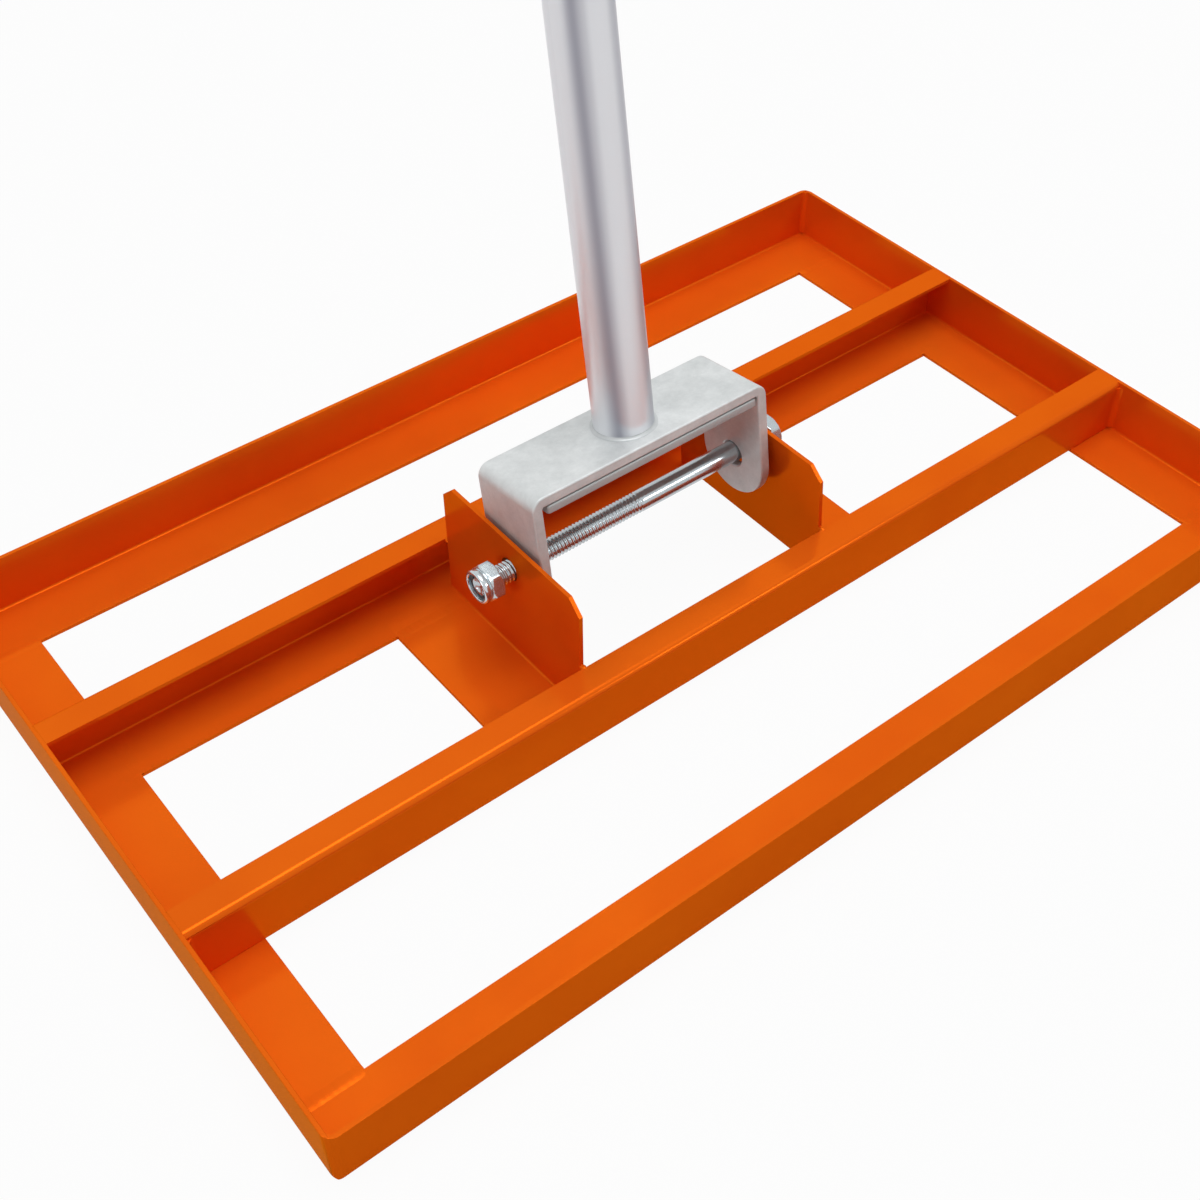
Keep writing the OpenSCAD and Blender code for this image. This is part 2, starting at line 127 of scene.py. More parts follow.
def makeWorld():
    world = bpy.data.worlds.new("studioRoom")
    world.use_nodes = True
    tree = world.node_tree
    tree.nodes.clear()
    direction = addNode(tree, "ShaderNodeTexCoord").outputs["Generated"]
    height = addNode(tree, "ShaderNodeSeparateXYZ", links={0: direction}).outputs["Z"]
    share = addNode(tree, "ShaderNodeMapRange", {"From Min": -1.0, "From Max": 1.0}, {"Value": height})
    colours = []
    for part in ("lighting", "shown"):
        ramp = addNode(tree, "ShaderNodeValToRGB", links={"Fac": share.outputs["Result"]})
        # the ramps run with the sine of the elevation
        stops = [(0.5 + 0.5 * math.sin(math.radians(angle)), greyOf(value)) for angle, value in studio[part]]
        setRamp(ramp, stops)
        colours.append(ramp.outputs["Color"])
    # the eye, mirrors and glass see the pale backdrop; only the lighting is darker at the sides
    links = {0: seenRays(tree), 6: colours[0], 7: colours[1]}
    both = addNode(tree, "ShaderNodeMix", links=links, data_type="RGBA")
    light = addNode(tree, "ShaderNodeBackground", {"Strength": 1.0}, {"Color": both.outputs[2]})
    addNode(tree, "ShaderNodeOutputWorld", links={"Surface": light.outputs["Background"]})
    bpy.context.scene.world = world


def makeFloor():
    # matt white paper that glows a little for the eye and for mirrors, so that it stays white
    half, low = studio["floorSize"] / 2, studio["floorLevel"]
    corners = [(-half, -half, low), (half, -half, low), (half, half, low), (-half, half, low)]
    mesh = bpy.data.meshes.new("floor")
    mesh.from_pydata(corners, [], [(0, 1, 2, 3)])
    floor = bpy.data.objects.new("floor", mesh)
    bpy.context.scene.collection.objects.link(floor)
    material, tree = newMaterial("whitePaperSweep")
    seen = seenRays(tree)
    glow = addNode(tree, "ShaderNodeMath", {1: studio["floorGlow"]}, {0: seen}, operation="MULTIPLY")
    matt = addNode(tree, "ShaderNodeBsdfDiffuse", {"Color": greyOf(studio["floorWhite"])})
    bright = addNode(tree, "ShaderNodeEmission", {"Color": greyOf(1.0), "Strength": 1.0})
    links = {0: glow.outputs[0], 1: matt.outputs[0], 2: bright.outputs[0]}
    both = addNode(tree, "ShaderNodeMixShader", links=links)
    addNode(tree, "ShaderNodeOutputMaterial", links={"Surface": both.outputs[0]})
    mesh.materials.append(material)


def makeLamps():
    target = Vector(studio["lampAim"])
    for lamp in studio["lamps"]:
        data = bpy.data.lights.new(lamp["name"], "AREA")
        data.shape = "SQUARE"
        data.size = lamp["size"]
        data.energy = lamp["power"]
        lampObject = bpy.data.objects.new(lamp["name"], data)
        lampObject.location = lamp["place"]
        lampObject.rotation_euler = (target - Vector(lamp["place"])).to_track_quat("-Z", "Y").to_euler()
        bpy.context.scene.collection.objects.link(lampObject)


makeWorld()
makeFloor()
makeLamps()
print("camera, floor and light ready")


# ---- materials ----

def objectPlace(tree):
    return addNode(tree, "ShaderNodeTexCoord").outputs["Object"]


def mapped(tree, vector, inputs):
    return addNode(tree, "ShaderNodeMapping", inputs, {"Vector": vector}).outputs[0]


def noiseOver(tree, vector, sizeMm, detail, roughness=0.5):
    # lumps about sizeMm apart
    inputs = {"Scale": 1 / (sizeMm * mm), "Detail": detail, "Roughness": roughness}
    return addNode(tree, "ShaderNodeTexNoise", inputs, {"Vector": vector}).outputs[0]


def toneFrom(tree, source, tones, low=0.3):
    # from the first hex colour to the second; little of a noise lies below 0.3 or above 0.7
    ramp = addNode(tree, "ShaderNodeValToRGB", links={"Fac": source})
    setRamp(ramp, [(low, linear(tones[0])), (0.7, linear(tones[1]))])
    return ramp.outputs["Color"]


def rangeFrom(tree, source, ends):
    inputs = {"From Min": 0.3, "From Max": 0.7, "To Min": ends[0], "To Max": ends[1]}
    return addNode(tree, "ShaderNodeMapRange", inputs, {"Value": source}).outputs["Result"]


def bumpFrom(tree, source, strength, depthMm):
    inputs = {"Strength": strength, "Distance": depthMm * mm}
    return addNode(tree, "ShaderNodeBump", inputs, {"Height": source}).outputs[0]


def finishSurface(tree, constants, colour, roughness, normal):
    links = {"Base Color": colour, "Roughness": roughness, "Normal": normal}
    surface = addNode(tree, "ShaderNodeBsdfPrincipled", constants, links)
    addNode(tree, "ShaderNodeOutputMaterial", links={"Surface": surface.outputs[0]})


powderCoat = {
    "tones": ("#E46113", "#E96814"), "filmMm": 40.0, "roughness": (0.15, 0.2),
    "peelMm": 1.8, "peelDetail": 1.5, "peelRoughness": 0.4, "bump": 0.35, "peelDepthMm": 0.04,
    # its reflections are tinted like the coat
    "shader": {"IOR": 1.5, "Metallic": 0.28, "Specular IOR Level": 0.0,
               "Specular Tint": (1.0, 0.62, 0.09, 1.0)},
}


def orangePowderCoat():
    # baked polyester powder coat: glossy, with a faint orange peel
    p = powderCoat
    material, tree = newMaterial("orangePowderCoat")
    place = objectPlace(tree)
    peel = noiseOver(tree, place, p["peelMm"], p["peelDetail"], p["peelRoughness"])
    # the film is a little thicker here and thinner there
    film = noiseOver(tree, place, p["filmMm"], 2.0)
    tone = toneFrom(tree, film, p["tones"])
    rough = rangeFrom(tree, film, p["roughness"])
    finishSurface(tree, p["shader"], tone, rough, bumpFrom(tree, peel, p["bump"], p["peelDepthMm"]))
    return material


def platedSteel(name, tones, roughness, grainMm, depthMm, metallic=1.0, stretch=(1, 1, 1)):
    # zinc plated or bare steel: a clear grey metal with a fine grain and a cloudy tone
    material, tree = newMaterial(name)
    place = objectPlace(tree)
    grain = noiseOver(tree, mapped(tree, place, {"Scale": stretch}), grainMm, 3.0)
    cloud = noiseOver(tree, place, 22.0, 6.0, 0.75)
    tone = toneFrom(tree, cloud, tones)
    rough = rangeFrom(tree, grain, roughness)
    finishSurface(tree, {"Metallic": metallic}, tone, rough, bumpFrom(tree, grain, 0.3, depthMm))
    return material


drawnTube = {
    # the light and dark greys are the two ends of the painted reflection bands
    "lean": 9.0, "light": "#F6F8FC", "dark": "#A4A5B1", "roughness": (0.3, 0.38), "metallic": 0.38,
    # draw lines, stretched along the pole, and how far the painted reflection bands wander, as a share of a
    # turn
    "grainMm": 0.9, "depthMm": 0.006, "bump": 0.3, "stretch": (1, 1, 0.02), "driftMm": 5.0, "drift": 0.012,
    # painted reflections: light and dark bands round the tube, as (degrees from the right-hand side, share of
    # light)
    "paintedReflectionBands": [(0, 0.85), (28, 1.0), (48, 0.45), (60, 0.35), (78, 0.9), (105, 1.0), (124, 0.7),
              (142, 0.95), (180, 1.0), (200, 0.95), (211, 0.42), (221, 0.0), (230, 0.12), (241, 0.72),
              (249, 0.96), (280, 1.0), (290, 0.6), (303, 0.2), (322, 0.4), (340, 0.9)],
}


def satinZincTubeWithPaintedReflections():
    # satin zinc on drawn tube with fine draw lines along the whole pole; the soft light and dark bands round
    # it are painted reflections
    t = drawnTube
    material, tree = newMaterial("satinZincTubeWithPaintedReflections")
    # seen along the pole's own axis, which leans back from the bolt
    upright = mapped(tree, objectPlace(tree), {"Location": (0, -headY * mm, -pivotZ * mm)})
    along = mapped(tree, upright, {"Rotation": (math.radians(t["lean"]), 0, 0)})
    around = addNode(tree, "ShaderNodeTexGradient", links={"Vector": along}, gradient_type="RADIAL")
    wander = mapped(tree, along, {"Scale": t["stretch"]})
    drift = noiseOver(tree, wander, t["driftMm"], 3.0)
    reach = {"To Min": -t["drift"], "To Max": t["drift"]}
    shift = addNode(tree, "ShaderNodeMapRange", reach, {"Value": drift})
    links = {0: around.outputs["Fac"], 1: shift.outputs[0]}
    angle = addNode(tree, "ShaderNodeMath", links=links, operation="ADD")
    # painted reflection: the tube's colour goes light and dark with the angle round the pole
    paintedReflectionBands = addNode(tree, "ShaderNodeValToRGB", links={"Fac": angle.outputs[0]})
    paintedReflectionBands.color_ramp.interpolation = "B_SPLINE"
    dark, light = Vector(linear(t["dark"])), Vector(linear(t["light"]))
    stops = sorted(((degrees + 180) % 360 / 360, share) for degrees, share in t["paintedReflectionBands"])
    setRamp(paintedReflectionBands, [(position, dark.lerp(light, share)) for position, share in stops])
    lines = noiseOver(tree, wander, t["grainMm"], 3.0)
    rough = rangeFrom(tree, lines, t["roughness"])
    bump = bumpFrom(tree, lines, t["bump"], t["depthMm"])
    finishSurface(tree, {"Metallic": t["metallic"]}, paintedReflectionBands.outputs["Color"], rough, bump)
    return material


def mouldedPolymer(name, tones, roughness, grainMm, depthMm, ior):
    # moulded rubber or plastic: dark, with the fine matt texture of a spark-eroded mould
    material, tree = newMaterial(name)
    place = objectPlace(tree)
    grain = noiseOver(tree, place, grainMm, 3.0)
    scuff = noiseOver(tree, place, 14.0, 4.0)
    tone = toneFrom(tree, scuff, tones, low=0.35)
    rough = rangeFrom(tree, scuff, roughness)
    finishSurface(tree, {"IOR": ior}, tone, rough, bumpFrom(tree, grain, 0.4, depthMm))
    return material


# colours from dark to light, roughness from low to high, size and depth of the grain in mm
materials = {
    "head_paint": orangePowderCoat(),
    # bright zinc: almost a mirror, slightly blue
    "bolt_zinc": platedSteel("brightZincBolt", ("#B4BEC2", "#C8D0D4"), (0.16, 0.24), 0.5, 0.004, 0.85),
    "nut_zinc": platedSteel("brightZincNut", ("#BCC6CA", "#D0D8DC"), (0.14, 0.22), 0.5, 0.004, 0.85),
    # satin zinc on hot rolled flat bar: soft reflections and a slightly uneven skin
    "yoke_steel": platedSteel("satinZincFlatBar", ("#C4C8C8", "#E6E9E9"), (0.4, 0.52), 1.2, 0.06, 0.3),
    # ground weld
    "weld_steel": platedSteel("groundWeld", ("#BFC3C4", "#D2D5D6"), (0.36, 0.5), 0.8, 0.03, 0.3),
    "pole_steel": satinZincTubeWithPaintedReflections(),
    # turned mild steel with the marks of the tool round it
    "thread_steel": platedSteel("turnedSteel", ("#A9AAAD", "#BEBFC2"), (0.25, 0.35), 0.4, 0.01,
                                stretch=(0.1, 0.1, 1)),
    # nylon 6, dark grey
    "nut_nylon": mouldedPolymer("nylonRing", ("#202226", "#2E3036"), (0.35, 0.45), 0.6, 0.01, 1.53),
    # moulded nitrile rubber
    "grip_rubber": mouldedPolymer("mouldedRubber", ("#121315", "#1C1D1F"), (0.6, 0.75), 0.7, 0.04, 1.52),
    # moulded polyethylene
    "cap_plastic": mouldedPolymer("mouldedPolyethylene", ("#151617", "#1E1F21"), (0.42, 0.55),
                                  0.5, 0.015, 1.51),
}
print("materials ready:", len(materials))


# ---- ways of making a piece ----

def addPiece(name, bm, body, slotName, nodes, sharpAngle=35, weigh=False, material=None):
    bmesh.ops.recalc_face_normals(bm, faces=bm.faces)
    mesh = bpy.data.meshes.new(name)
    bm.to_mesh(mesh)
    bm.free()
    mesh.materials.append(material or materials[slotName])
    mesh.shade_smooth()
    mesh.set_sharp_from_angle(angle=math.radians(sharpAngle))
    piece = bpy.data.objects.new(name, mesh)
    bpy.context.scene.collection.objects.link(piece)
    if weigh:
        flatter = piece.modifiers.new("flatFacesStayFlat", "WEIGHTED_NORMAL")
        flatter.keep_sharp = True
        flatter.weight = 100
    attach(piece, body)
    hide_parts(*nodes)
    return piece


def mergedMesh(node):
    # the CAD's mesh with its doubled points joined and its flat faces whole
    bm = bmesh.new()
    bm.from_mesh(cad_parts[node].data)
    bmesh.ops.remove_doubles(bm, verts=bm.verts, dist=0.005 * mm)
    bmesh.ops.dissolve_limit(bm, angle_limit=math.radians(0.3), verts=bm.verts, edges=bm.edges)
    return bm


def roundEdges(bm, radius, segments, leaveOut=None):
    # only outside corners are rounded, and none where another piece is welded on
    edges = []
    for edge in bm.edges:
        if not edge.is_manifold or edge.calc_face_angle_signed(0) < math.radians(30):
            continue
        if leaveOut and leaveOut(edge):
            continue
        edges.append(edge)
    bmesh.ops.bevel(bm, geom=edges, offset=radius, segments=segments, profile=0.5, affect="EDGES",
                    clamp_overlap=True)


def steps(start, end, count):
    return [start + (end - start) * k / count for k in range(count + 1)]


def quarterTurn(count):
    return [math.pi / 2 * k / count for k in range(count + 1)]


def addBand(bm, one, two):
    # a band of faces between two rings of points
    count = len(one)
    for k in range(count):
        n = (k + 1) % count
        bm.faces.new((one[k], one[n], two[n], two[k]))


def turned(stations, segments, origin, toWorld, closed=False):
    # stations are (place along the axis in mm, radius in mm or a function of angle and place);
    # a closed profile joins its last station to its first, for rings and tubes
    bm = bmesh.new()
    rings = []
    for along, radius in stations:
        ring = []
        for k in range(segments):
            angle = 2 * math.pi * k / segments
            r = radius(angle, along) if callable(radius) else radius
            point = toWorld @ Vector((r * math.cos(angle), r * math.sin(angle), along))
            ring.append(bm.verts.new((Vector(origin) + point) * mm))
        rings.append(ring)
    for one, two in zip(rings, rings[1:]):
        addBand(bm, one, two)
    if closed:
        addBand(bm, rings[-1], rings[0])
    else:
        bm.faces.new(rings[0])
        bm.faces.new(rings[-1])
    return bm


def closedRun(sections):
    # one closed solid from a list of cross-sections with the same number of points
    bm = bmesh.new()
    rings = [[bm.verts.new(Vector(p) * mm) for p in section] for section in sections]
    for one, two in zip(rings, rings[1:]):
        addBand(bm, one, two)
    bm.faces.new(rings[0])
    bm.faces.new(rings[-1])
    return bm


def thread(outer, pitch):
    # right-handed, with narrow flats on crest and root, as shares of half a pitch
    depth, root, slopeWidth = 0.3 * pitch, 0.12, 0.7

    def radius(angle, along):
        phase = (along / pitch - angle / (2 * math.pi)) % 1.0
        slope = abs(phase - 0.5) * 2
        return outer - depth * min(1.0, max(0.0, (slope - root) / slopeWidth))
    return radius


def hexagon(acrossFlats, cone):
    # cone(along) limits the radius where the corners are turned off
    cornerRadius = acrossFlats / 2 / math.cos(math.pi / 6) * 0.985

    def radius(angle, along):
        near = (angle + math.pi / 6) % (math.pi / 3) - math.pi / 6
        return min(acrossFlats / 2 / math.cos(near), cornerRadius, cone(along))
    return radius


# ---- the head: eight bent sheet pieces under one coat of paint ----

headPaint = {"edgeRadius": 0.62, "edgeSteps": 4, "touch": 0.02}
paintedNodes = ["front_rail", "rear_rail", "left_end_rail", "right_end_rail",
                "front_crossbar", "rear_crossbar", "left_ear", "right_ear"]

# planes on which one piece stops against another, in mm, from the middle of the head
seamPlanes = {
    "x": [-208.5, -185.5, -84, -54, -52.5, 57.314, 58.814, 88.814, 185.5, 208.5],
    "y": [-130.5, -107.5, -52, -50.5, -40.5, -39, -29.5, 29.5, 39, 40.5, 50.5, 52, 107.5, 130.5],
    "z": [1.5, 22.5],
}


def splitAtSeams(bm):
    axes = {"x": Vector((1, 0, 0)), "y": Vector((0, 1, 0)), "z": Vector((0, 0, 1))}
    for axis, normal in axes.items():
        for value in seamPlanes[axis]:
            offset = value + (headY if axis == "y" else 0)
            geometry = bm.verts[:] + bm.edges[:] + bm.faces[:]
            bmesh.ops.bisect_plane(bm, geom=geometry, plane_co=normal * offset * mm, plane_no=normal,
                                   dist=0.001 * mm)


def makeHead():
    trees = {node: BVHTree.FromBMesh(mergedMesh(node)) for node in paintedNodes}
    for node in paintedNodes:
        others = [tree for name, tree in trees.items() if name != node]

        def welded(edge):
            # another piece touches the edge all along
            a, b = edge.verts[0].co, edge.verts[1].co
            for share in (0.2, 0.5, 0.8):
                spot = a.lerp(b, share)
                if not any(tree.find_nearest(spot, headPaint["touch"] * mm)[0] for tree in others):
                    return False
            return True

        bm = mergedMesh(node)
        splitAtSeams(bm)
        roundEdges(bm, headPaint["edgeRadius"] * mm, headPaint["edgeSteps"], welded)
        addPiece(node + "_painted", bm, "head", "head_paint", [node], weigh=True)
    print("head ready")


makeHead()


# ---- bolt, nut and ring ----

pivot = {
    "turned": 11, "boltD": 8.0, "threadD": 7.85, "boltEnd": -67.0, "threadLength": 70.0,
    "pitch": 1.5,  # the real thread of 1.25 mm is too fine to show, so it is drawn a little coarser
    "stepsPerPitch": 12, "tipDrop": 0.75, "pointLength": 1.0, "runOut": 5.0,
    "headFace": 60.814, "headHeight": 5.3, "hexWidth": 13.0, "faceD": 12.4, "headCone": 30, "dish": 0.08,
    "nutFace": -60.0, "nutHeight": 8.0, "nutHexHeight": 5.0, "nutCone": 35,
    "collarD": 12.6, "collarWall": 0.9, "collarLip": 0.5, "boreGap": 0.05, "ringDepth": 1.5,
}
alongX = Matrix(((0, 0, 1), (1, 0, 0), (0, 1, 0)))  # local Z runs to the right, X to the back, Y up
alongMinusX = Matrix(((0, 0, -1), (1, 0, 0), (0, -1, 0)))  # local Z runs to the left


def makeBolt():
    p = pivot
    shank, crest, face = p["boltD"] / 2, p["threadD"] / 2, p["faceD"] / 2
    start, end, tip = p["boltEnd"], p["boltEnd"] + p["threadLength"], crest - p["tipDrop"]
    low, top = p["headFace"], p["headFace"] + p["headHeight"]
    slope = math.tan(math.radians(p["headCone"]))
    screw = thread(crest, p["pitch"])

    def threaded(angle, along):
        # the point of the bolt narrows, and the thread runs out into the shank
        lead = min(1.0, (along - start) / p["pointLength"])
        r = min(screw(angle, along), tip + (crest - tip) * lead)
        out = max(0.0, min(1.0, (along - (end - p["runOut"])) / p["runOut"]))
        return r + (shank - r) * out

    def underCone(along):
        return face + (along - low) / slope

    def topCone(along):
        return face - 0.25 + (top - along) / slope

    count = int(p["threadLength"] / p["pitch"] * p["stepsPerPitch"])
    # the sheared end is dished
    stations = [(start + 1.3, 0.3), (start + 1.1, 1.2), (start + 0.35, 2.4), (start, tip - 0.3), (start, tip)]
    stations += [(x, threaded) for x in steps(start, end, count)]
    stations += [(x, shank) for x in steps(end + 0.2, low - 0.4, 24)]
    # a small fillet under the head
    stations += [(low - 0.1, shank + 0.1), (low, shank + 0.35), (low, face)]
    stations += [(x, hexagon(p["hexWidth"], underCone)) for x in steps(low + 0.05, low + 0.5, 3)]
    stations += [(x, hexagon(p["hexWidth"], topCone)) for x in steps(low + 0.7, top, 14)]
    stations += [(top, face - 0.7), (top - p["dish"], face - 1.0), (top - p["dish"], 0.4)]
    # a corner of the hexagon stands up, turned a little about the bolt
    turn = alongX @ Matrix.Rotation(math.radians(90 + p["turned"]), 3, "Z")
    bm = turned(stations, 72, (0, headY, pivotZ), turn)
    addPiece("pivot_bolt_threaded", bm, "bolt", "bolt_zinc", ["pivot_bolt"], sharpAngle=40)


def makeNut():
    p = pivot
    hexEnd, end, roll, lip = p["nutHexHeight"], p["nutHeight"], p["collarWall"], p["collarLip"]
    bore, outer, face = p["threadD"] / 2 + p["boreGap"], p["collarD"] / 2, p["faceD"] / 2
    slope = math.tan(math.radians(p["nutCone"]))

    def lowCone(along):
        return face - 0.2 + along / slope

    def highCone(along):
        return outer - 0.1 + (hexEnd - along) / slope

    stations = [(0.0, bore + 0.35), (0.0, face - 0.3)]
    stations += [(x, hexagon(p["hexWidth"], lowCone)) for x in steps(0.08, 0.8, 6)]
    stations += [(x, hexagon(p["hexWidth"], highCone)) for x in steps(1.0, hexEnd, 16)]
    # a groove under the collar, which is rolled in over the ring
    groove = [(0.08, 0.4), (0.3, 0.45), (0.5, 0.35), (0.75, 0.1), (1.0, 0.0)]
    stations += [(hexEnd + up, outer - deep) for up, deep in groove]
    for a in quarterTurn(10):
        stations.append((end - roll + roll * math.sin(a), outer - roll + roll * math.cos(a)))
    stations += [(end - 0.12, outer - roll - 0.3), (end - 0.4, outer - roll - lip),
                 (end - p["ringDepth"], outer - roll - lip), (end - p["ringDepth"], bore + 0.6),
                 (hexEnd - 0.3, bore + 0.6), (hexEnd - 0.6, bore), (0.35, bore)]
    turn = alongMinusX @ Matrix.Rotation(math.radians(-90 - p["turned"]), 3, "Z")
    bm = turned(stations, 96, (p["nutFace"], headY, pivotZ), turn, closed=True)
    addPiece("lock_nut_rolled", bm, "bolt", "nut_zinc", ["lock_nut"], sharpAngle=32)
    # the nylon ring shows as a dark recess behind the rolled rim
    rim = outer - roll - 0.6
    ring = [(hexEnd + 0.05, bore), (end - 1.7, bore), (end - 1.45, bore + 0.3), (end - 1.4, rim),
            (hexEnd + 0.05, rim)]
    bm = turned(ring, 72, (p["nutFace"], headY, pivotZ), turn, closed=True)
    addPiece("nut_lock_ring_nylon", bm, "bolt", "nut_nylon", ["nut_lock_ring"])


makeBolt()
makeNut()
print("bolt and nut ready")


# ---- yoke and pole ----

handle = {
    "lean": 9.0, "yokeTop": 34.0, "yokeEdge": 0.7, "poleD": 21.3, "wall": 1.2, "sectionLength": 440.0,
    "sections": 4, "bevel": 0.5, "footBlend": 1.25, "socketLength": 36.0, "plugLength": 30.0,
    "studD": 14.0, "studLength": 28.0, "studPitch": 2.0, "studBore": 6.0, "studChamfer": 1.2, "fitGap": 0.02,
    "gripLength": 130.0, "gripD": 27.0, "gripEdge": 0.8, "ribRadius": 1.5, "ribPitch": 12.0, "ribRise": 0.5,
    "capHeight": 6.0, "capStem": 20.0,
}
handleTurn = Matrix.Rotation(math.radians(-handle["lean"]), 3, "X")
pivotPoint = Vector((0, headY, pivotZ))


def onPole(height):
    return pivotPoint + handleTurn @ Vector((0, 0, height))


def makeYoke():
    bm = mergedMesh("yoke")
    roundEdges(bm, handle["yokeEdge"] * mm, 4)
    addPiece("yoke_plated", bm, "handle", "yoke_steel", ["yoke"], weigh=True)


# the stiffener is drawn a darker grey than the yoke's bar
shearedPlate = platedSteel("satinZincShearedPlate", ("#B0B4B4", "#BEC2C2"), (0.42, 0.55), 1.6, 0.02, 0.3)
stiffener = {
    "left": -45.2, "right": 46.1, "halfDepth": 16.0, "top": 30.0, "thick": 3.5, "gap": 0.34, "gapDepth": 1.3,
    "edge": 0.55, "endRound": 0.9, "roughness": 0.28, "roughLength": 1.0,
}


def makeStiffener():
    # sheared plate under the yoke's top: its rounded upper edge leaves a dark seam, and its left end is rough
    s = stiffener
    half, top, foot, edge = s["halfDepth"], s["top"], s["top"] - s["thick"], s["edge"]
    centre, span, endRound = (top + foot) / 2, s["right"] - s["left"], s["endRound"]
    outline = [(half - s["gapDepth"], top), (half - s["gapDepth"], top - s["gap"])]
    for a in reversed(quarterTurn(4)):
        outline.append((half - edge * (1 - math.cos(a)), top - s["gap"] - edge * (1 - math.sin(a))))
    for a in quarterTurn(4):
        outline.append((half - edge * (1 - math.cos(a)), foot + edge * (1 - math.sin(a))))
    outline += [(-y, z) for y, z in reversed(outline)]
    sections = []
    for along in [0.0, 0.15, 0.4, 0.8, 1.4] + steps(3.0, span - 3.0, 30) + [span - 0.8, span - 0.3, span]:
        near = min(along, span - along, endRound)
        inset = endRound - math.sqrt(max(0.0, endRound ** 2 - (endRound - near) ** 2))
        depthShare, heightShare = 1 - inset / half, 1 - inset * 0.5 / (top - centre)
        section = []
        for y, z in outline:
            rough = s["roughness"] * noise.noise(Vector((y * 0.6, z * 0.9, 3.1)))
            x = s["left"] + along + (max(0.0, rough) if along < s["roughLength"] else 0.0)
            point = Vector((x, y * depthShare, centre + (z - centre) * heightShare))
            section.append(pivotPoint + handleTurn @ point)
        sections.append(section)
    addPiece("yoke_stiffener_plated", closedRun(sections), "handle", "yoke_steel", ["yoke_stiffener"],
             sharpAngle=30, material=shearedPlate)


def makeFootWeld():
    # ground to a small hollow blend round the foot of the pole
    size, inner = handle["footBlend"], handle["poleD"] / 2
    stations = [(-0.1, inner - 0.4)]
    for a in quarterTurn(12):
        def radius(angle, along, a=a):
            wave = 1 + 0.16 * noise.noise(Vector((2.1 * math.cos(angle), 2.1 * math.sin(angle), 0.7)))
            return inner - 0.03 + size * wave * (1 - math.sin(a))
        stations.append((0.03 + size * (1 - math.cos(a)), radius))
    stations.append((size, inner - 0.4))
    bm = turned(stations, 96, onPole(handle["yokeTop"]), handleTurn, closed=True)
    addPiece("pole_foot_weld_ground", bm, "handle", "weld_steel", ["pole_foot_weld"], sharpAngle=70)


def makeTubes():
    h = handle
    outer, inner = h["poleD"] / 2, h["poleD"] / 2 - h["wall"]
    length, bevel = h["sectionLength"], h["bevel"]
    # both ends are slightly rounded off
    stations = [(0, inner), (0, outer - bevel), (bevel * 0.3, outer - bevel * 0.3), (bevel, outer)]
    stations += [(x, outer) for x in steps(bevel + 1, length - bevel - 1, 24)]
    stations += [(length - bevel, outer), (length - bevel * 0.3, outer - bevel * 0.3),
                 (length, outer - bevel), (length, inner)]
    for k in range(h["sections"]):
        bm = turned(stations, 96, onPole(h["yokeTop"] + k * length), handleTurn, closed=True)
        node = "pole_section_%d" % (k + 1)
        addPiece(node + "_tube", bm, "handle", "pole_steel", [node])


def makeThreadedJoints():
    h = handle
    fit = h["poleD"] / 2 - h["wall"] - h["fitGap"]
    studR, bore, plug = h["studD"] / 2, h["studBore"] / 2, h["plugLength"]
    socketFoot, studFoot = -h["socketLength"], -h["studLength"]
    studThread, socketThread = thread(studR, h["studPitch"]), thread(studR + 0.05, h["studPitch"])
    # threaded bush in the top of the lower section
    socket = [(socketFoot, fit - 0.4), (socketFoot + 0.4, fit), (-0.4, fit), (-0.05, fit - 0.4)]
    socket += [(x, socketThread) for x in reversed(steps(socketFoot, -0.05, 216))]
    # plug in the bottom of the upper section with its stud
    stud = [(studFoot, bore), (studFoot, studR - h["studChamfer"])]
    stud += [(x, studThread) for x in steps(studFoot + 0.1, -2.4, 150)]
    stud += [(-2.0, studR - h["studChamfer"]), (0.0, studR - h["studChamfer"]), (0.0, fit - 0.4), (0.4, fit),
             (plug - 0.6, fit), (plug, fit - 0.6), (plug, bore)]
    for k in range(1, h["sections"]):
        joint = onPole(h["yokeTop"] + k * h["sectionLength"])
        for node, stations in (("pole_socket_%d" % k, socket), ("pole_stud_%d" % k, stud)):
            bm = turned(stations, 48, joint, handleTurn, closed=True)
            addPiece(node + "_threaded", bm, "handle", "thread_steel", [node])


def makeGrip():
    h = handle
    outer, inner = h["gripD"] / 2, h["poleD"] / 2 + h["fitGap"]
    top, length, edge = h["yokeTop"] + h["sections"] * h["sectionLength"], h["gripLength"], h["gripEdge"]
    ribs = int((length - h["ribPitch"]) / h["ribPitch"]) + 1
    first = (length - (ribs - 1) * h["ribPitch"]) / 2

    def profile(along):
        near = min(abs(along - first - k * h["ribPitch"]) for k in range(ribs))
        # round ribs, each with a fine groove at its foot and a soft rise beside that
        if near > h["ribRadius"]:
            raised = h["ribRise"] * math.exp(-((near - h["ribRadius"]) / h["ribRise"]) ** 2)
        else:
            raised = math.sqrt(h["ribRadius"] ** 2 - near ** 2)
        fromEnd = min(along, length - along, edge)
        return outer + raised - (edge - math.sqrt(max(0.0, edge ** 2 - (edge - fromEnd) ** 2)))

    stations = [(0, inner)] + [(x, profile(x)) for x in steps(0.0, length, 520)] + [(length, inner)]
    bm = turned(stations, 72, onPole(top - length), handleTurn, closed=True)
    addPiece("grip_ribbed", bm, "handle", "grip_rubber", ["grip"], sharpAngle=60)


